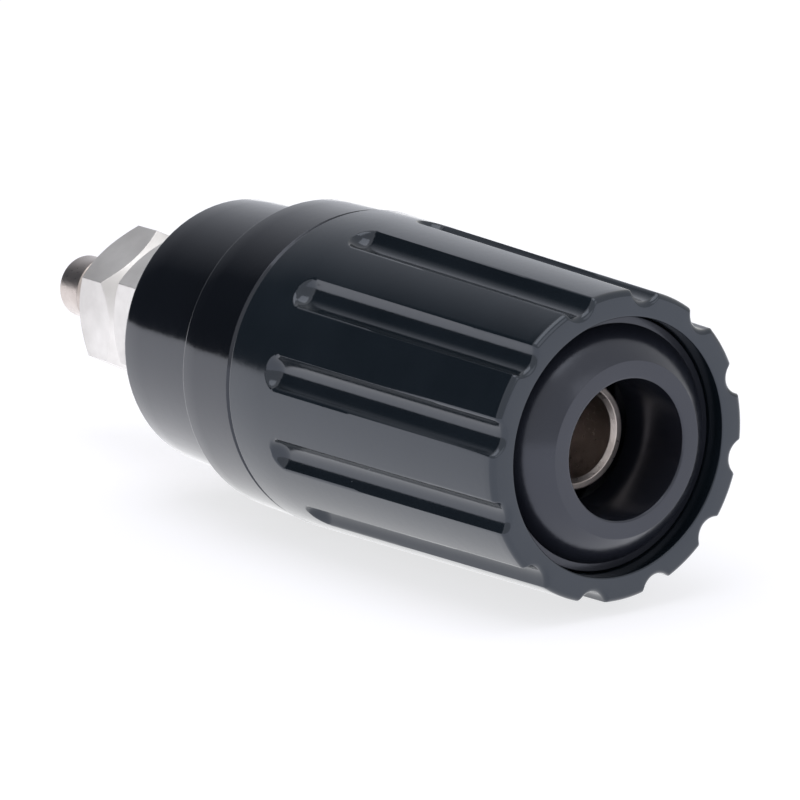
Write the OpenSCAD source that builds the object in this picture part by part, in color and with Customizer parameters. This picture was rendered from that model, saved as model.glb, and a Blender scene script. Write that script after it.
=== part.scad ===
// Insulated binding post for a panel: 4 mm plug socket at the front, screw clamp
// with a cross hole for a bare wire, and an M4 stud with two nuts at the rear.
// The post lies along Y: the knob faces -Y, the stud points to +Y, and the origin
// is on the axis, on the rear face of the front insulator that seats on the panel.
// The parts are drawn upright, with the socket up, and turned into place at the end.

/* [Knob] */
// Diameter over the lands at the rear edge
knob_rear_d = 15.3; // [14.8:0.1:17]
// Diameter over the lands at the front face
knob_front_d = 13.95; // [13.4:0.05:14.7]
// Length of the knob, front face to rear edge
knob_len = 19.4; // [18:0.1:23]
// Radius of the rounded edge round the front face
knob_front_round = 0.28; // [0.1:0.02:0.5]
// Radius of the rounded edge round the rear
knob_rear_round = 0.12; // [0.05:0.01:0.3]
// Width of the shoulder that the insert is pressed up to
insert_shoulder = 0.6; // [0.3:0.05:0.9]

/* [Flutes] */
// Number of flutes round the knob
flute_count = 12; // [6:1:16]
// Width of a flute across its mouth
flute_w = 1.55; // [1:0.05:2]
// Depth of a flute below the lands
flute_depth = 0.5; // [0.3:0.02:0.7]
// Distance from the rear edge of the knob to the round end of a flute
flute_margin = 2.8; // [1.5:0.1:6]
// Angle of the first flute
flute_phase = 18.8; // [0:0.1:30]

/* [Front ring] */
// Hole that the plug goes in through
ring_hole_d = 6.3; // [5.8:0.05:7]
// Outer diameter of the flat face round the hole
ring_flat_d = 7.95; // [7.5:0.05:8.6]
// Outer diameter of the sloping face
ring_slope_d = 10.7; // [10:0.05:11]
// Height of the flat face in front of the knob's rim
ring_proud = 0.5; // [0.1:0.05:1]
// Depth from the knob's rim to the ring's outer step
ring_step_depth = 1; // [0.6:0.05:1.4]
// Thickness of the ring at its outer step
ring_step_t = 1.6; // [1:0.1:2.2]
// Bulge of the sloping face
ring_crown = 0.09; // [0.02:0.01:0.2]
// Wall of the knob's rim round the ring
rim_wall = 1.17; // [1:0.01:1.4]
// Length of the spigot that centres the ring
ring_spigot_len = 0.9; // [0.5:0.1:1.5]

/* [Contact post] */
// Bore that takes the plug
socket_d = 4; // [3.9:0.02:4.1]
// Depth of the bore
socket_depth = 13.2; // [11:0.1:13.6]
// Outer diameter of the tube round the bore
tube_d = 5.05; // [4.9:0.05:5.2]
// Distance from the knob's front face back to the end of the tube
tube_recess = 3; // [2.6:0.1:3.4]
// Chamfer in the mouth of the bore
mouth_chamfer = 0.2; // [0.1:0.02:0.3]
// Diameter of the clamping thread
clamp_thread_d = 6; // [5.6:0.1:6.2]
// Pitch of the clamping thread
clamp_pitch = 0.75; // [0.5:0.05:0.8]
// Turns of the knob from closed to fully open
clamp_turns = 6; // [3:1:6]
// Diameter of the waist between the collar and the clamping thread
waist_d = 5.2; // [4.6:0.1:5.4]
// Diameter of the cross hole for a bare wire, through the waist
wire_hole_d = 2.4; // [1.5:0.1:2.4]
// Width across the flats of the hexagonal collar
collar_af = 8; // [7.6:0.1:9]
// Thickness of the collar
collar_t = 3; // [2:0.1:3.2]
// Diameter of the threaded stud
stud_d = 4; // [3.8:0.05:4]
// Diameter of the turned tip of the stud
tip_d = 3.2; // [3:0.05:3.4]
// Length of the turned tip
tip_len = 2.2; // [1:0.1:3]
// Thread that stands out behind the outer nut
spare_thread = 2.7; // [1:0.1:6]

/* [Front insulator] */
// Step on the radius from the knob's rear edge in to the insulator
flange_step = 0.05; // [0:0.01:0.2]
// Draft on the radius from the knob's side down to the panel face
flange_draft = 0.05; // [0.02:0.01:0.2]
// Thickness in front of the panel
flange_t = 4; // [3.6:0.1:5]
// Radius of the rounded edge at the panel face
flange_round = 0.16; // [0.05:0.01:0.4]
// Diameter of the shank that goes through the panel
shank_d = 8; // [7:0.1:8.4]
// Length of the shank
shank_len = 5; // [3:0.1:5.4]
// Width of the key that stops the post turning in the panel
key_w = 2; // [1:0.1:3]
// Height of the key above the shank
key_h = 0.7; // [0.4:0.05:0.9]
// Length of the key
key_len = 1.5; // [1:0.1:2]

/* [Rear bush] */
// Diameter at the panel face
bush_front_d = 13.5; // [12.6:0.1:14.4]
// Diameter at the rear
bush_rear_d = 13.2; // [12.4:0.1:14]
// Length of the bush without its hub
bush_len = 6.7; // [6.4:0.1:9]
// Radius of the rounded rear edge
bush_round = 0.32; // [0.1:0.02:0.6]
// Diameter of the hub that the washer lies on
hub_d = 9.2; // [9:0.1:10]
// Height of the hub
hub_h = 1; // [0.4:0.1:1.6]

/* [Threaded insert] */
// Length of the insert's body
insert_len = 6.75; // [5:0.05:8]
// Wall of the neck that carries the thrust washer
neck_wall = 0.5; // [0.4:0.05:0.7]
// How far the neck's rear edge is spread to hold the washer
neck_flare = 0.3; // [0.15:0.05:0.4]
// Number of grip grooves round the insert
knurl_count = 24; // [12:2:36]
// Depth of the grip grooves
knurl_depth = 0.2; // [0.1:0.02:0.3]

/* [Washers and ring] */
// Diameter of the thrust washer
thrust_d = 10.9; // [10:0.1:11.4]
// Thickness of the thrust washer
thrust_t = 0.7; // [0.5:0.05:1]
// Diameter of the retaining ring
clip_d = 7.3; // [6.8:0.1:8]
// Thickness of the retaining ring
clip_t = 0.6; // [0.4:0.05:0.8]
// Depth of the groove that the retaining ring sits in
clip_groove = 0.35; // [0.2:0.05:0.45]
// Angle of the gap in the retaining ring
clip_gap = 70; // [40:5:110]
// Diameter of the plain washer
washer_d = 9; // [8:0.1:10]
// Thickness of the plain washer
washer_t = 0.8; // [0.5:0.1:1.2]
// Diameter of the spring washer
spring_d = 7.6; // [7:0.1:8]
// Thickness of the spring washer
spring_t = 0.9; // [0.6:0.1:1.2]
// Width of the split in the spring washer
spring_split = 0.5; // [0.3:0.05:0.8]

/* [Nuts] */
// Width across the flats
nut_af = 7; // [6.5:0.1:8]
// Thickness of a nut
nut_t = 3.2; // [2.2:0.1:4]
// Diameter where the corners' chamfer meets the faces
nut_face_d = 6.6; // [6:0.1:6.9]
// Angle of a corner of the inner nut
inner_nut_turn = 31; // [0:1:60]
// Angle of a corner of the outer nut
outer_nut_turn = 34; // [0:1:60]

/* [Clearances] */
// Gap between the knob's rear edge and the front insulator when closed
closed_gap = 0.1; // [0.06:0.02:0.4]
// Gap under the thrust washer when closed
seat_gap = 0.05; // [0.02:0.01:0.1]
// Gap between the open knob's insert and the retaining ring
stop_gap = 0.05; // [0.02:0.01:0.2]
// Gap on the radius round the retaining ring inside the knob
clip_room = 0.75; // [0.3:0.05:0.9]
// Gap on the radius in the threads
thread_gap = 0.05; // [0.02:0.01:0.1]
// Gap on the radius round the thrust washer's neck
neck_gap = 0.08; // [0.05:0.01:0.1]
// Gap on the radius between parts that are pushed together
push_gap = 0.05; // [0.02:0.01:0.1]
// Gap on the radius round the stud in the washers and the insulators
stud_gap = 0.1; // [0.05:0.01:0.2]

/* [Hidden] */
$fn = 96;
arc_steps = 6;
// Overrun that carries a cut clear of the face it opens
over = 1;

plastic = "#14181b";
nickel = "#b4b2af";
brass = "#b08d4f";
steel = "#8d9093";

// Heights above the panel seat, from the knob down to the flange
collar_h = flange_t - collar_t;
knob_h = flange_t + closed_gap;
knob_front_h = knob_h + knob_len;
thrust_h = flange_t + seat_gap;
insert_h = thrust_h + thrust_t;
insert_front_h = insert_h + insert_len;
clamp_travel = clamp_turns * clamp_pitch;
clip_h = insert_front_h + clamp_travel + stop_gap;
clamp_thread_h = clip_h + clip_t + clamp_pitch;
tube_h = knob_front_h - tube_recess;
wire_h = flange_t + wire_hole_d / 2 + closed_gap;
waist_h = wire_h + wire_hole_d / 2 + closed_gap;

// Heights below the panel seat, from the bush down to the stud's tip
hub_z = -bush_len - hub_h;
washer_z = hub_z - washer_t;
spring_z = washer_z - spring_t;
inner_nut_z = spring_z - nut_t;
outer_nut_z = inner_nut_z - nut_t;
thread_end_z = outer_nut_z - spare_thread;
tip_z = thread_end_z - tip_len;

// Knob and front ring
knob_draft = atan((knob_rear_d - knob_front_d) / 2 / knob_len);
flute_r = (flute_w * flute_w / 4 + flute_depth * flute_depth) / (2 * flute_depth);
cavity_r = clip_d / 2 + clip_room;
insert_r = cavity_r + insert_shoulder;
rim_r = knob_front_d / 2 - rim_wall;
ring_step_h = knob_front_h - ring_step_depth;
ring_seat_h = ring_step_h - ring_step_t;
ring_front_h = knob_front_h + ring_proud;
slope_foot = 0.12;

// Threaded insert
bore_r = clamp_thread_d / 2 + thread_gap;
neck_r = bore_r + neck_wall;
flare_r = neck_r + neck_flare;
neck_z = thrust_h + seat_gap;

// Retaining ring and stud
clip_groove_r = clamp_thread_d / 2 - clip_groove;
stud_hole_r = stud_d / 2 + stud_gap;
edge_break = 0.15;
shank_r = shank_d / 2;
bush_recess = shank_len + stud_gap;

function knob_r(h) = knob_rear_d / 2 - (h - knob_h) * tan(knob_draft);

// Points of an arc about a centre, from one angle to another
function arc(centre, r, from, to) =
    [for (i = [0:arc_steps])
        centre + r * [cos(from + (to - from) * i / arc_steps), sin(from + (to - from) * i / arc_steps)]];

// Points along a chord that bulges outwards by the given height
function bulged(a, b, bulge) =
    [for (i = [0:arc_steps])
        let (t = i / arc_steps, n = [b[1] - a[1], a[0] - b[0]] / norm(b - a))
        a + (b - a) * t + n * 4 * bulge * t * (1 - t)];

// Turns a part drawn upright so that its top faces -Y
module facing_front() {
    rotate([90, 0, 0])
        children();
}

// Flat ring drawn upwards from the given height
module flat_ring(z, t, outer_r, inner_r) {
    translate([0, 0, z])
        difference() {
            cylinder(r = outer_r, h = t);
            translate([0, 0, -over])
                cylinder(r = inner_r, h = t + 2 * over);
        }
}

// Ball-ended cutter for one flute, along the slope of the lands
module flute_cutter() {
    start_h = knob_h + flute_margin + flute_w / 2;
    translate([knob_r(start_h) - flute_depth + flute_r, 0, start_h])
        rotate([0, -knob_draft, 0]) {
            sphere(r = flute_r);
            cylinder(r = flute_r, h = knob_len);
        }
}

// Outside of the knob with its rounded edges, closed at the axis
module knob_blank() {
    front_r = knob_front_d / 2;
    rear_r = knob_rear_d / 2;
    rotate_extrude()
        polygon(concat(
            [[0, knob_h]],
            arc([rear_r - knob_rear_round, knob_h + knob_rear_round], knob_rear_round, -90, 0),
            arc([front_r - knob_front_round, knob_front_h - knob_front_round], knob_front_round, 0, 90),
            [[0, knob_front_h]]));
}

module knob() {
    color(plastic)
        facing_front()
            difference() {
                knob_blank();
                for (i = [0:flute_count - 1])
                    rotate([0, 0, flute_phase + i * 360 / flute_count])
                        flute_cutter();
                translate([0, 0, knob_h - over])
                    cylinder(r = cavity_r, h = knob_len + 2 * over);
                translate([0, 0, knob_h - over])
                    cylinder(r = insert_r + push_gap, h = insert_front_h - knob_h + over);
                translate([0, 0, knob_h - over])
                    cylinder(d = thrust_d + 4 * neck_gap, h = insert_h - knob_h + over);
                translate([0, 0, ring_seat_h])
                    cylinder(r = rim_r, h = knob_len);
            }
}

// Mouth of the socket: a flat face round the hole and a crowned slope outside it
module front_ring() {
    slope_foot_point = [ring_slope_d / 2, ring_step_h + slope_foot];
    flat_edge_point = [ring_flat_d / 2, ring_front_h];
    hole_r = ring_hole_d / 2;
    color(plastic)
        facing_front()
            rotate_extrude()
                polygon(concat(
                    [[hole_r, ring_seat_h - ring_spigot_len],
                     [cavity_r - push_gap, ring_seat_h - ring_spigot_len],
                     [cavity_r - push_gap, ring_seat_h],
                     [rim_r - push_gap, ring_seat_h],
                     [rim_r - push_gap, ring_step_h],
                     [ring_slope_d / 2, ring_step_h]],
                    bulged(slope_foot_point, flat_edge_point, ring_crown),
                    arc([hole_r + edge_break, ring_front_h - edge_break], edge_break, 90, 180)));
}

// Threaded insert with the neck that carries the thrust washer
module knob_insert() {
    color(brass)
        facing_front()
            difference() {
                rotate_extrude()
                    polygon([[bore_r, neck_z],
                             [flare_r, neck_z],
                             [neck_r, neck_z + neck_flare],
                             [neck_r, insert_h],
                             [insert_r, insert_h],
                             [insert_r, insert_front_h],
                             [bore_r, insert_front_h]]);
                for (i = [0:knurl_count - 1])
                    rotate([0, 0, i * 360 / knurl_count])
                        translate([insert_r - knurl_depth, -knurl_depth, insert_h + clamp_pitch])
                            cube([knurl_depth + over, 2 * knurl_depth, insert_len - 2 * clamp_pitch]);
            }
}

// Washer that presses on the wire and stays still while the knob turns on it
module thrust_washer() {
    hole_r = neck_r + neck_gap;
    sink_r = flare_r + neck_gap;
    sink_top = neck_z + neck_flare + neck_gap;
    color(nickel)
        facing_front()
            rotate_extrude()
                polygon([[sink_r, thrust_h],
                         [thrust_d / 2, thrust_h],
                         [thrust_d / 2, insert_h],
                         [hole_r, insert_h],
                         [hole_r, sink_top],
                         [sink_r, sink_top - neck_flare]]);
}

// Open ring that stops the knob from coming off
module retaining_ring() {
    color(steel)
        facing_front()
            difference() {
                flat_ring(clip_h, clip_t, clip_d / 2, clip_groove_r + push_gap);
                translate([0, 0, clip_h - over])
                    linear_extrude(clip_t + 2 * over)
                        polygon([[0, 0],
                                 clip_d * [cos(-90 - clip_gap / 2), sin(-90 - clip_gap / 2)],
                                 clip_d * [cos(-90 + clip_gap / 2), sin(-90 + clip_gap / 2)]]);
            }
}

// Stud, collar, waist, clamping thread and socket tube, turned from one bar
module contact_post() {
    stud_r = stud_d / 2;
    tip_r = tip_d / 2;
    thread_r = clamp_thread_d / 2;
    waist_r = waist_d / 2;
    tube_r = tube_d / 2;
    socket_r = socket_d / 2;
    collar_r = collar_af / 2;
    tip_step = stud_r - tip_r;
    color(nickel)
        facing_front()
            difference() {
                union() {
                    rotate_extrude()
                        polygon([[0, tip_z],
                                 [tip_r - edge_break, tip_z],
                                 [tip_r, tip_z + edge_break],
                                 [tip_r, thread_end_z],
                                 [stud_r, thread_end_z + tip_step],
                                 [stud_r, collar_h],
                                 [collar_r, collar_h],
                                 [collar_r, flange_t],
                                 [waist_r, flange_t],
                                 [waist_r, waist_h],
                                 [thread_r, waist_h + thread_r - waist_r],
                                 [thread_r, clip_h],
                                 [clip_groove_r, clip_h],
                                 [clip_groove_r, clip_h + clip_t],
                                 [thread_r, clip_h + clip_t],
                                 [thread_r, clamp_thread_h - (thread_r - tube_r)],
                                 [tube_r, clamp_thread_h],
                                 [tube_r, tube_h - edge_break / 2],
                                 [tube_r - edge_break / 2, tube_h],
                                 [0, tube_h]]);
                    translate([0, 0, collar_h])
                        cylinder(d = collar_af / cos(30), h = collar_t, $fn = 6);
                }
                translate([0, 0, tube_h - socket_depth])
                    cylinder(r = socket_r, h = socket_depth + over);
                translate([0, 0, tube_h - mouth_chamfer])
                    cylinder(r1 = socket_r, r2 = socket_r + mouth_chamfer + over, h = mouth_chamfer + over);
                translate([-collar_af, 0, wire_h])
                    rotate([0, 90, 0])
                        cylinder(d = wire_hole_d, h = 2 * collar_af);
            }
}

// Insulator in front of the panel, with the shank that lines the panel's hole
module front_insulator() {
    front_r = knob_rear_d / 2 - flange_step;
    rear_r = front_r - flange_draft;
    color(plastic)
        facing_front()
            difference() {
                union() {
                    rotate_extrude()
                        polygon(concat(
                            [[0, -shank_len],
                             [shank_r - edge_break, -shank_len],
                             [shank_r, edge_break - shank_len],
                             [shank_r, 0]],
                            arc([rear_r - flange_round, flange_round], flange_round, -90, 0),
                            [[front_r, flange_t - edge_break],
                             [front_r - edge_break, flange_t],
                             [0, flange_t]]));
                    translate([-key_w / 2, 0, -key_len])
                        cube([key_w, shank_r + key_h, key_len]);
                }
                translate([0, 0, -shank_len - over])
                    cylinder(r = stud_hole_r, h = shank_len + flange_t + 2 * over);
                translate([0, 0, collar_h])
                    cylinder(d = (collar_af + 2 * push_gap) / cos(30), h = collar_t + over, $fn = 6);
            }
}

// Insulator behind the panel, with a recess for the shank and its key
module rear_bush() {
    rear_r = bush_rear_d / 2;
    recess_r = shank_r + stud_gap;
    key_recess_r = recess_r + key_h;
    color(plastic)
        facing_front()
            rotate_extrude()
                polygon(concat(
                    [[stud_hole_r, hub_z],
                     [hub_d / 2, hub_z],
                     [hub_d / 2, -bush_len]],
                    arc([rear_r - bush_round, bush_round - bush_len], bush_round, -90, 0),
                    [[bush_front_d / 2, -edge_break],
                     [bush_front_d / 2 - edge_break, 0],
                     [key_recess_r, 0],
                     [key_recess_r, -key_len - stud_gap],
                     [recess_r, -key_len - stud_gap],
                     [recess_r, -bush_recess],
                     [stud_hole_r, -bush_recess]]));
}

module plain_washer() {
    color(nickel)
        facing_front()
            flat_ring(washer_z, washer_t, washer_d / 2, stud_hole_r);
}

// Spring washer pressed flat, with its slanting split
module spring_washer() {
    color(nickel)
        facing_front()
            difference() {
                flat_ring(spring_z, spring_t, spring_d / 2, stud_hole_r);
                translate([0, -spring_d, spring_z + spring_t / 2])
                    rotate([0, 35, 0])
                        translate([-spring_split / 2, 0, -2 * spring_t])
                            cube([spring_split, spring_d, 4 * spring_t]);
            }
}

// Hexagonal nut with its corners chamfered on both faces
module nut(z, turn) {
    hex_r = nut_af / 2 / cos(30);
    face_r = nut_face_d / 2;
    chamfer = hex_r - face_r;
    thread_r = stud_d / 2 + thread_gap;
    sink = 2 * edge_break;
    translate([0, 0, z])
        rotate([0, 0, turn])
            difference() {
                intersection() {
                    cylinder(r = hex_r, h = nut_t, $fn = 6);
                    rotate_extrude()
                        polygon([[0, 0],
                                 [face_r, 0],
                                 [hex_r, chamfer],
                                 [hex_r, nut_t - chamfer],
                                 [face_r, nut_t],
                                 [0, nut_t]]);
                }
                translate([0, 0, -over])
                    cylinder(r = thread_r, h = nut_t + 2 * over);
                for (side = [0, 1])
                    translate([0, 0, side * nut_t])
                        mirror([0, 0, side])
                            translate([0, 0, -over])
                                cylinder(r1 = thread_r + sink + over, r2 = thread_r, h = sink + over);
            }
}

module nut_inner() {
    color(nickel)
        facing_front()
            nut(inner_nut_z, inner_nut_turn);
}

module nut_outer() {
    color(nickel)
        facing_front()
            nut(outer_nut_z, outer_nut_turn);
}

contact_post();
front_insulator();
rear_bush();
knob();
knob_insert();
front_ring();
thrust_washer();
retaining_ring();
plain_washer();
spring_washer();
nut_inner();
nut_outer();
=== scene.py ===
import bpy
from math import acos, atan2, cos, pi, radians, sin, sqrt
from mathutils import Matrix, Vector


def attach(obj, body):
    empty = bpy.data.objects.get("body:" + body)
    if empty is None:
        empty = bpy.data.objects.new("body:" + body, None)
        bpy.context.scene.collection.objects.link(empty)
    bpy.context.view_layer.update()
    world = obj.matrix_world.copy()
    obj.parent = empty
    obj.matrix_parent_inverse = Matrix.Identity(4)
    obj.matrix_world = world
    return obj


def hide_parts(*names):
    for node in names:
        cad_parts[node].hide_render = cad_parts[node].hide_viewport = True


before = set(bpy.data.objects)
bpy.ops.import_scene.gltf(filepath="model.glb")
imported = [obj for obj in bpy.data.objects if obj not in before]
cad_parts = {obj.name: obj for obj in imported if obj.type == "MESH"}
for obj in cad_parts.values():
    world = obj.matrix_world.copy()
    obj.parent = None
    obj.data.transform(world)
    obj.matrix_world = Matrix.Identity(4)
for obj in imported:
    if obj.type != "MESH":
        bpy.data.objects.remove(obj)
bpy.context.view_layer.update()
mm = 0.001
mergeGap = 0.000001
dustColour = (0.3, 0.31, 0.34, 1)
dustCut = 0.82  # only cells above this carry a speck


def deselectAll():
    if bpy.context.mode != "OBJECT":
        bpy.ops.object.mode_set(mode="OBJECT")
    bpy.ops.object.select_all(action="DESELECT")


def makeActive(piece):
    deselectAll()
    piece.select_set(True)
    bpy.context.view_layer.objects.active = piece


# A turned profile: corners are (radius, height, rounding), height grows towards the socket
def roundedPath(corners, steps=6):
    path = []
    count = len(corners)
    for i, (r, h, rounding) in enumerate(corners):
        here = Vector((r, h))
        if rounding == 0:
            path.append(here)
            continue
        before = Vector(corners[i - 1][:2]) - here
        after = Vector(corners[(i + 1) % count][:2]) - here
        before.normalize()
        after.normalize()
        half = acos(max(-1, min(1, before.dot(after)))) / 2
        centre = here + (before + after).normalized() * rounding / sin(half)
        start = here + before * rounding * cos(half) / sin(half) - centre
        end = here + after * rounding * cos(half) / sin(half) - centre
        for k in range(steps + 1):
            spoke = start.lerp(end, k / steps).normalized() * rounding
            path.append(centre + spoke)
    return path


# Draws the profile point by point, then spins it round the post's axis
def turnedPiece(name, path, steps):
    deselectAll()
    bpy.ops.mesh.primitive_plane_add(size=0.0001, location=(0, 0, 0))
    piece = bpy.context.object
    piece.name = name
    bpy.ops.object.mode_set(mode="EDIT")
    bpy.ops.mesh.select_all(action="SELECT")
    bpy.ops.mesh.merge(type="CENTER")
    places = [Vector((p[0] * mm, -p[1] * mm, 0)) for p in path]
    bpy.ops.transform.translate(value=places[0])
    for a, b in zip(places, places[1:] + places[:1]):
        bpy.ops.mesh.extrude_vertices_move(TRANSFORM_OT_translate={"value": b - a})
    bpy.ops.mesh.select_all(action="SELECT")
    bpy.ops.mesh.remove_doubles(threshold=mergeGap)
    bpy.ops.mesh.spin(steps=steps, angle=2 * pi, center=(0, 0, 0), axis=(0, 1, 0))
    bpy.ops.mesh.select_all(action="SELECT")
    bpy.ops.mesh.remove_doubles(threshold=mergeGap)
    bpy.ops.mesh.normals_make_consistent(inside=False)
    bpy.ops.object.mode_set(mode="OBJECT")
    return piece


# A merged copy of a CAD node, so that its round faces shade smoothly
def fairCopy(node, name, angle):
    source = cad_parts[node]
    piece = bpy.data.objects.new(name, source.data.copy())
    bpy.context.scene.collection.objects.link(piece)
    piece.matrix_world = source.matrix_world.copy()
    makeActive(piece)
    bpy.ops.object.transform_apply(location=True, rotation=True, scale=True)
    bpy.ops.mesh.customdata_custom_splitnormals_clear()
    bpy.ops.object.mode_set(mode="EDIT")
    bpy.ops.mesh.select_all(action="SELECT")
    bpy.ops.mesh.remove_doubles(threshold=mergeGap)
    bpy.ops.object.mode_set(mode="OBJECT")
    bpy.ops.object.shade_smooth_by_angle(angle=radians(angle))
    piece.data.materials.clear()
    return piece


def fit(piece, node, body, material):
    piece.data.materials.clear()
    piece.data.materials.append(material)
    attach(piece, body)
    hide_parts(node)


def addNode(tree, kind, **values):
    node = tree.nodes.new(kind)
    for key, value in values.items():
        setattr(node, key, value)
    return node


def maths(tree, operation, a, b=None):
    node = addNode(tree, "ShaderNodeMath", operation=operation)
    for socket, value in zip(node.inputs, (a, b)):
        if value is None:
            continue
        if isinstance(value, (int, float)):
            socket.default_value = value
        else:
            tree.links.new(value, socket)
    return node.outputs[0]


# Height of a screw thread between two places on the axis, from 0 at the root to 1 at the crest
def threadHeight(tree, split, pitch, start, end):
    x, y, z = split.outputs
    turn = maths(tree, "DIVIDE", maths(tree, "ARCTAN2", z, x), 2 * pi)
    wave = maths(tree, "FRACT", maths(tree, "ADD", maths(tree, "DIVIDE", y, pitch * mm), turn))
    crest = maths(tree, "MULTIPLY", maths(tree, "ABSOLUTE", maths(tree, "SUBTRACT", wave, 0.5)), 2)
    inside = maths(tree, "MULTIPLY", maths(tree, "GREATER_THAN", y, start * mm),
                   maths(tree, "LESS_THAN", y, end * mm))
    return maths(tree, "MULTIPLY", crest, inside)


# One finish: colour and gloss that drift a little, a fine surface, softened edges
def finish(name, look):
    material = bpy.data.materials.new(name)
    material.use_nodes = True
    tree = material.node_tree
    shader = tree.nodes["Principled BSDF"]
    shader.inputs["Metallic"].default_value = look["metallic"]
    shader.inputs["IOR"].default_value = look.get("ior", 1.5)
    shader.inputs["Specular Tint"].default_value = (*look.get("sheen", (1, 1, 1)), 1)
    place = addNode(tree, "ShaderNodeTexCoord")
    drift = addNode(tree, "ShaderNodeTexNoise")
    drift.inputs["Scale"].default_value = look["driftScale"]
    drift.inputs["Detail"].default_value = 3
    tree.links.new(place.outputs["Object"], drift.inputs["Vector"])
    tint = addNode(tree, "ShaderNodeValToRGB")
    tint.color_ramp.elements[0].position = 0.35
    tint.color_ramp.elements[1].position = 0.65
    tint.color_ramp.elements[0].color = (*look["dark"], 1)
    tint.color_ramp.elements[1].color = (*look["light"], 1)
    tree.links.new(drift.outputs["Fac"], tint.inputs["Fac"])
    colour = tint.outputs["Color"]
    if look.get("dust"):
        cells = addNode(tree, "ShaderNodeTexVoronoi")
        cells.inputs["Scale"].default_value = look["dustScale"]
        tree.links.new(place.outputs["Object"], cells.inputs["Vector"])
        pick = addNode(tree, "ShaderNodeSeparateColor")
        tree.links.new(cells.outputs["Color"], pick.inputs["Color"])
        speck = maths(tree, "MULTIPLY", maths(tree, "LESS_THAN", cells.outputs["Distance"], look["dust"]),
                      maths(tree, "GREATER_THAN", pick.outputs[0], dustCut))
        mix = addNode(tree, "ShaderNodeMix", data_type="RGBA")
        tree.links.new(speck, mix.inputs[0])
        tree.links.new(colour, mix.inputs[6])
        mix.inputs[7].default_value = dustColour
        colour = mix.outputs[2]
    tree.links.new(colour, shader.inputs["Base Color"])
    gloss = addNode(tree, "ShaderNodeMapRange")
    gloss.inputs["To Min"].default_value = look["smooth"]
    gloss.inputs["To Max"].default_value = look["rough"]
    grain = addNode(tree, "ShaderNodeTexNoise")
    grain.inputs["Scale"].default_value = look["grainScale"]
    grain.inputs["Detail"].default_value = 4
    tree.links.new(place.outputs["Object"], grain.inputs["Vector"])
    tree.links.new(grain.outputs["Fac"], gloss.inputs["Value"])
    tree.links.new(gloss.outputs["Result"], shader.inputs["Roughness"])
    edge = addNode(tree, "ShaderNodeBevel", samples=6)
    edge.inputs["Radius"].default_value = look["edge"] * mm
    fine = addNode(tree, "ShaderNodeBump")
    fine.inputs["Strength"].default_value = look["grainStrength"]
    fine.inputs["Distance"].default_value = look["grainDepth"] * mm
    tree.links.new(grain.outputs["Fac"], fine.inputs["Height"])
    tree.links.new(edge.outputs["Normal"], fine.inputs["Normal"])
    normal = fine.outputs["Normal"]
    if look.get("threads"):
        split = addNode(tree, "ShaderNodeSeparateXYZ")
        tree.links.new(place.outputs["Object"], split.inputs["Vector"])
        height = None
        for pitch, start, end in look["threads"]:
            one = threadHeight(tree, split, pitch, start, end)
            height = one if height is None else maths(tree, "ADD", height, one)
        cut = addNode(tree, "ShaderNodeBump")
        cut.inputs["Strength"].default_value = 1
        cut.inputs["Distance"].default_value = look["threadDepth"] * mm
        tree.links.new(height, cut.inputs["Height"])
        tree.links.new(normal, cut.inputs["Normal"])
        normal = cut.outputs["Normal"]
    tree.links.new(normal, shader.inputs["Normal"])
    return material


knobPlastic = finish("knobPlastic", {
    "metallic": 0, "dark": (0.0050, 0.0082, 0.0115), "light": (0.0085, 0.0125, 0.0170),
    "sheen": (0.80, 0.86, 1),
    "driftScale": 160, "smooth": 0.10, "rough": 0.19, "ior": 1.56, "grainScale": 2600,
    "grainStrength": 0.25, "grainDepth": 0.012, "edge": 0.03, "dust": 0.03, "dustScale": 620})
ringPlastic = finish("ringPlastic", {
    "metallic": 0, "dark": (0.0085, 0.0095, 0.0145), "light": (0.0125, 0.0140, 0.0200),
    "sheen": (0.82, 0.86, 1),
    "driftScale": 220, "smooth": 0.16, "rough": 0.28, "ior": 1.56, "grainScale": 3000,
    "grainStrength": 0.3, "grainDepth": 0.012, "edge": 0.03, "dust": 0.025, "dustScale": 700})
insulatorPlastic = finish("insulatorPlastic", {
    "metallic": 0, "dark": (0.0018, 0.0023, 0.0036), "light": (0.0030, 0.0038, 0.0056),
    "sheen": (0.80, 0.85, 1),
    "driftScale": 140, "smooth": 0.07, "rough": 0.15, "ior": 1.56, "grainScale": 2200,
    "grainStrength": 0.2, "grainDepth": 0.012, "edge": 0.06, "dust": 0.03, "dustScale": 560})
platedPost = finish("platedPost", {
    "metallic": 1, "dark": (0.40, 0.355, 0.335), "light": (0.55, 0.50, 0.475),
    "driftScale": 420, "smooth": 0.20, "rough": 0.42, "grainScale": 5200,
    "grainStrength": 0.5, "grainDepth": 0.02, "edge": 0.06, "threadDepth": 0.25,
    "threads": [(0.75, -17.2, -7.0)]})
platedNuts = finish("platedNuts", {
    "metallic": 1, "dark": (0.53, 0.515, 0.51), "light": (0.69, 0.675, 0.67),
    "driftScale": 300, "smooth": 0.40, "rough": 0.58, "grainScale": 4200,
    "grainStrength": 0.35, "grainDepth": 0.015, "edge": 0.08})
turnedBrass = finish("turnedBrass", {
    "metallic": 1, "dark": (0.52, 0.36, 0.14), "light": (0.70, 0.51, 0.24),
    "driftScale": 260, "smooth": 0.22, "rough": 0.38, "grainScale": 3600,
    "grainStrength": 0.35, "grainDepth": 0.015, "edge": 0.05})
springSteel = finish("springSteel", {
    "metallic": 1, "dark": (0.34, 0.34, 0.35), "light": (0.48, 0.48, 0.49),
    "driftScale": 320, "smooth": 0.26, "rough": 0.45, "grainScale": 4000,
    "grainStrength": 0.4, "grainDepth": 0.015, "edge": 0.05})
print("finishes made")


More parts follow.
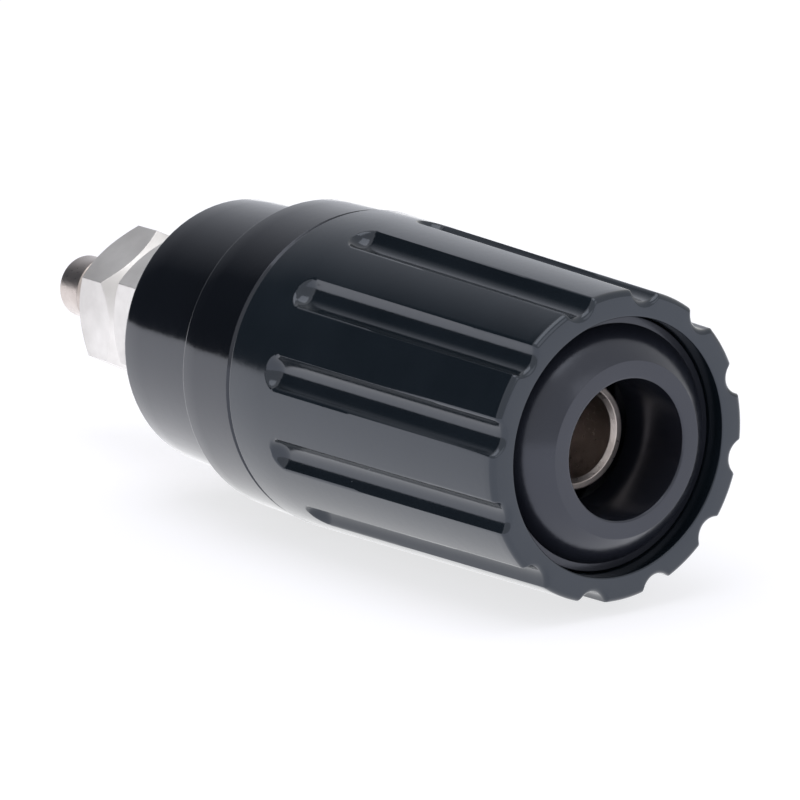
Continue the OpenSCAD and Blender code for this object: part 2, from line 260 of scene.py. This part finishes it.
knobLook = {"rearR": 7.65, "frontR": 6.975, "rear": 4.1, "front": 23.5, "rearRound": 0.12, "frontRound": 0.28,
            "flutes": 12, "phase": 18.8, "width": 1.55, "depth": 0.5, "margin": 2.8, "softEdge": 0.07,
            "rimR": 5.805, "seat": 20.9, "cavityR": 4.4, "insertTop": 11.5, "insertR": 5.05,
            "sinkTop": 4.75, "sinkR": 5.61, "outsideR": 6.3, "steps": 600}


# How deep a flute is at a distance across it and at a height along the knob
def fluteDepth(across, h):
    look = knobLook
    ballR = (look["width"] ** 2 / 4 + look["depth"] ** 2) / (2 * look["depth"])
    along = max(0, look["rear"] + look["margin"] + look["width"] / 2 - h)
    away = min(sqrt(across * across + along * along), ballR)
    raw = sqrt(ballR * ballR - away * away) - (ballR - look["depth"])
    soft = look["softEdge"]
    if raw > soft:
        return raw
    return max(0, raw + soft) ** 2 / (4 * soft)


def makeKnob():
    look = knobLook
    corners = [(look["sinkR"], look["rear"], 0), (look["rearR"], look["rear"], look["rearRound"]),
               (look["frontR"], look["front"], look["frontRound"]), (look["rimR"], look["front"], 0.08),
               (look["rimR"], look["seat"], 0), (look["cavityR"], look["seat"], 0),
               (look["cavityR"], look["insertTop"], 0), (look["insertR"], look["insertTop"], 0),
               (look["insertR"], look["sinkTop"], 0), (look["sinkR"], look["sinkTop"], 0)]
    path = roundedPath(corners)
    slope = (look["rearR"] - look["frontR"]) / (look["front"] - look["rear"])
    rows = [6.6 + 0.07 * i for i in range(22)] + [8.4 + 0.72 * i for i in range(21)]
    side = [Vector((look["rearR"] - (h - look["rear"]) * slope, h)) for h in rows]
    path = path[:8] + side + path[8:]
    knob = turnedPiece("knobShell", path, look["steps"])
    for point in knob.data.vertices:  # press the ball-ended flutes into the side
        x, h, z = point.co.x / mm, -point.co.y / mm, point.co.z / mm
        r = sqrt(x * x + z * z)
        if r < look["outsideR"]:
            continue
        pitch = 360 / look["flutes"]
        turn = (atan2(z, x) * 180 / pi - look["phase"] + pitch / 2) % pitch - pitch / 2
        depth = fluteDepth(abs(r * sin(radians(turn))), h)
        point.co.x *= (r - depth) / r
        point.co.z *= (r - depth) / r
    makeActive(knob)
    bpy.ops.object.shade_smooth_by_angle(angle=radians(40))
    return knob


fit(makeKnob(), "knob", "knob_body", knobPlastic)
print("knob made")

ringLook = {"holeR": 3.15, "flatR": 3.975, "slopeR": 5.35, "outerR": 5.755, "spigotR": 4.35,
            "spigot": 20.0, "seat": 20.9, "step": 22.5, "foot": 22.62, "front": 24.0,
            "crown": 0.09, "steps": 240}


def makeRing():
    look = ringLook
    foot = Vector((look["slopeR"], look["foot"]))
    top = Vector((look["flatR"], look["front"]))
    run = top - foot
    outward = Vector((run.y, -run.x)).normalized()
    shares = [i / 12 for i in range(1, 12)]
    crown = [foot + run * t + outward * 4 * look["crown"] * t * (1 - t) for t in shares]
    corners = [(look["holeR"], look["spigot"], 0), (look["spigotR"], look["spigot"], 0),
               (look["spigotR"], look["seat"], 0), (look["outerR"], look["seat"], 0),
               (look["outerR"], look["step"], 0.06), (look["slopeR"], look["step"], 0.04),
               (look["slopeR"], look["foot"], 0)]
    path = roundedPath(corners)
    path = path + crown + [top] + roundedPath([(look["flatR"], look["front"], 0),
                                               (look["holeR"], look["front"], 0.12),
                                               (look["holeR"], look["spigot"], 0)])[1:-1]
    ring = turnedPiece("socketRing", path, look["steps"])
    makeActive(ring)
    bpy.ops.object.shade_smooth_by_angle(angle=radians(32))
    return ring


fit(makeRing(), "front_ring", "knob_body", ringPlastic)
print("ring made")

studLook = {"cut": 7.8, "start": 7.7, "threadStart": 8.0, "threadEnd": 18.4, "shoulder": 18.5, "tip": 20.7,
            "r": 2.0, "tipR": 1.6, "tipRound": 0.18, "pitch": 0.7, "depth": 0.36, "row": 0.07, "steps": 72}


# The rear stud with its M4 thread cut into the surface, and the turned tip
def makeStud():
    look = studLook
    count = int((look["threadEnd"] - look["threadStart"]) / look["row"])
    rows = [Vector((look["r"], -(look["threadStart"] + look["row"] * i))) for i in range(count + 1)]
    end = roundedPath([(look["tipR"], -look["shoulder"], 0), (look["tipR"], -look["tip"], look["tipRound"]),
                       (0, -look["tip"], 0)])
    path = [Vector((0, -look["start"])), Vector((look["r"], -look["start"]))] + rows
    path = path + [Vector((look["r"] - 0.1, -look["shoulder"]))] + end
    stud = turnedPiece("rearStud", path, look["steps"])
    for point in stud.data.vertices:
        x, y, z = point.co.x / mm, point.co.y / mm, point.co.z / mm
        r = sqrt(x * x + z * z)
        if r < look["r"] - 0.02 or y < look["threadStart"] - 0.01:
            continue
        wave = (y / look["pitch"] + atan2(z, x) / (2 * pi)) % 1
        crest = min(1, max(0, abs(wave - 0.5) * 2.6 - 0.15))
        runOut = min(1, (y - look["threadStart"]) / 0.4)
        point.co.x *= (r - look["depth"] * (1 - crest) * runOut) / r
        point.co.z *= (r - look["depth"] * (1 - crest) * runOut) / r
    return stud


def makePost():
    post = fairCopy("contact_post", "contactPost", 30)
    makeActive(post)
    bpy.ops.object.mode_set(mode="EDIT")
    bpy.ops.mesh.select_all(action="SELECT")
    bpy.ops.mesh.bisect(plane_co=(0, studLook["cut"] * mm, 0), plane_no=(0, 1, 0),
                        use_fill=True, clear_outer=True)
    bpy.ops.object.mode_set(mode="OBJECT")
    stud = makeStud()
    deselectAll()
    stud.select_set(True)
    post.select_set(True)
    bpy.context.view_layer.objects.active = post
    bpy.ops.object.join()
    bpy.ops.object.shade_smooth_by_angle(angle=radians(34))
    return post


fit(makePost(), "contact_post", "base", platedPost)
print("post made")

# The other turned, threaded and flat pieces keep their CAD shape, with smooth round faces
keptPieces = [
    ("front_insulator", "frontInsulator", "base", "black_insulator", insulatorPlastic),
    ("rear_bush", "rearBush", "base", "black_insulator", insulatorPlastic),
    ("knob_insert", "knobInsert", "knob_body", "turned_brass", turnedBrass),
    ("thrust_washer", "thrustWasher", "clamp_slide", "nickel_plate", platedPost),
    ("retaining_ring", "retainingRing", "base", "spring_steel", springSteel),
    ("plain_washer", "plainWasher", "base", "nickel_plate", platedPost),
    ("spring_washer", "springWasher", "base", "nickel_plate", platedPost),
    ("nut_inner", "nutInner", "base", "nickel_nuts", platedNuts),
    ("nut_outer", "nutOuter", "base", "nickel_nuts", platedNuts)]
for node, name, body, slot, material in keptPieces:
    fit(fairCopy(node, name, 30), node, body, material)
print("post, insulators, washers and nuts made")

stageLook = {"floor": -7.66, "floorSize": 6, "floorDiffuse": (0.40, 0.40, 0.45), "floorGlow": 0.72,
             "floorMirror": 0.55, "cardDark": (0.055, 0.064, 0.080), "cardBright": (0.85, 0.87, 0.93),
             "cardFrom": -0.22, "cardTo": 0.44}


def makeStage():
    look = stageLook
    deselectAll()
    bpy.ops.mesh.primitive_plane_add(size=look["floorSize"], location=(0, 0, look["floor"] * mm))
    floor = bpy.context.object
    floor.name = "floor"
    bpy.ops.object.transform_apply(location=True, rotation=True, scale=True)
    material = bpy.data.materials.new("paleFloor")
    material.use_nodes = True
    tree = material.node_tree
    tree.nodes.clear()
    diffuse = addNode(tree, "ShaderNodeBsdfDiffuse")
    diffuse.inputs["Color"].default_value = (*look["floorDiffuse"], 1)
    glow = addNode(tree, "ShaderNodeEmission")
    path = addNode(tree, "ShaderNodeLightPath")
    mirrored = maths(tree, "MULTIPLY", path.outputs["Is Glossy Ray"], look["floorMirror"])
    tree.links.new(maths(tree, "ADD", mirrored, look["floorGlow"]), glow.inputs["Strength"])
    both = addNode(tree, "ShaderNodeAddShader")
    out = addNode(tree, "ShaderNodeOutputMaterial")
    tree.links.new(diffuse.outputs[0], both.inputs[0])
    tree.links.new(glow.outputs[0], both.inputs[1])
    tree.links.new(both.outputs[0], out.inputs["Surface"])
    floor.data.materials.append(material)
    dark = bpy.data.materials.new("darkCard")
    dark.use_nodes = True
    dark.node_tree.nodes.clear()
    cardGlow = addNode(dark.node_tree, "ShaderNodeEmission")
    cardPlace = addNode(dark.node_tree, "ShaderNodeTexCoord")
    cardSplit = addNode(dark.node_tree, "ShaderNodeSeparateXYZ")
    cardFade = addNode(dark.node_tree, "ShaderNodeMapRange")
    cardFade.inputs["From Min"].default_value = look["cardFrom"]
    cardFade.inputs["From Max"].default_value = look["cardTo"]
    cardTint = addNode(dark.node_tree, "ShaderNodeValToRGB")
    cardTint.color_ramp.elements[0].color = (*look["cardDark"], 1)
    cardTint.color_ramp.elements[1].color = (*look["cardBright"], 1)
    dark.node_tree.links.new(cardPlace.outputs["Object"], cardSplit.inputs["Vector"])
    dark.node_tree.links.new(cardSplit.outputs["X"], cardFade.inputs["Value"])
    dark.node_tree.links.new(cardFade.outputs["Result"], cardTint.inputs["Fac"])
    dark.node_tree.links.new(cardTint.outputs["Color"], cardGlow.inputs["Color"])
    cardOut = addNode(dark.node_tree, "ShaderNodeOutputMaterial")
    dark.node_tree.links.new(cardGlow.outputs[0], cardOut.inputs["Surface"])
    cards = [("rearCard", (-0.20, 0.62, 0.41), (1.50, 0.82), (90, 0, 0))]
    for name, place, size, turn in cards:
        bpy.ops.mesh.primitive_plane_add(size=1, location=place, rotation=[radians(a) for a in turn])
        card = bpy.context.object
        card.name = name
        card.scale = (size[0], size[1], 1)
        bpy.ops.object.transform_apply(location=True, rotation=True, scale=True)
        card.data.materials.append(dark)
        card.visible_camera = False
        card.visible_shadow = False
        card.visible_diffuse = False


def makeWorld():
    world = bpy.data.worlds.new("studio")
    bpy.context.scene.world = world
    world.use_nodes = True
    tree = world.node_tree
    tree.nodes.clear()
    path = addNode(tree, "ShaderNodeLightPath")
    seen = maths(tree, "MAXIMUM", path.outputs["Is Camera Ray"], path.outputs["Is Glossy Ray"])
    seen = maths(tree, "MAXIMUM", seen, path.outputs["Is Transmission Ray"])
    soft = addNode(tree, "ShaderNodeBackground")
    soft.inputs["Color"].default_value = (0.96, 0.97, 1, 1)
    soft.inputs["Strength"].default_value = 0.55
    white = addNode(tree, "ShaderNodeBackground")
    white.inputs["Color"].default_value = (1, 1, 1, 1)
    white.inputs["Strength"].default_value = 1
    mix = addNode(tree, "ShaderNodeMixShader")
    out = addNode(tree, "ShaderNodeOutputWorld")
    tree.links.new(seen, mix.inputs[0])
    tree.links.new(soft.outputs[0], mix.inputs[1])
    tree.links.new(white.outputs[0], mix.inputs[2])
    tree.links.new(mix.outputs[0], out.inputs["Surface"])


def addLamp(name, place, aim, size, power):
    lamp = bpy.data.lights.new(name, "AREA")
    lamp.size = size
    lamp.energy = power
    holder = bpy.data.objects.new(name, lamp)
    bpy.context.scene.collection.objects.link(holder)
    holder.location = place
    holder.rotation_euler = (Vector(aim) - Vector(place)).to_track_quat("-Z", "Y").to_euler()


def makeCamera():
    lens = bpy.data.cameras.new("view")
    lens.lens = 202.5
    lens.sensor_width = 36
    lens.clip_start = 0.01
    camera = bpy.data.objects.new("view", lens)
    bpy.context.scene.collection.objects.link(camera)
    right = Vector((0.81182, -0.58391, 0))
    up = Vector((0.13001, 0.18075, 0.97490))
    forward = Vector((0.56926, 0.79144, -0.22265))
    turn = Matrix((right, up, -forward)).transposed().to_4x4()
    turn.translation = Vector((-119.447, -173.107, 45.817)) * mm
    camera.matrix_world = turn
    bpy.context.scene.camera = camera


makeStage()
makeWorld()
addLamp("overhead", (-0.10, -0.05, 0.55), (0, -0.008, 0), 0.45, 1.1)
addLamp("front", (0.05, -0.55, 0.30), (0, -0.02, 0), 0.35, 0.35)
makeCamera()
bpy.context.scene.view_settings.view_transform = "Standard"
print("stage, lamps and camera placed")
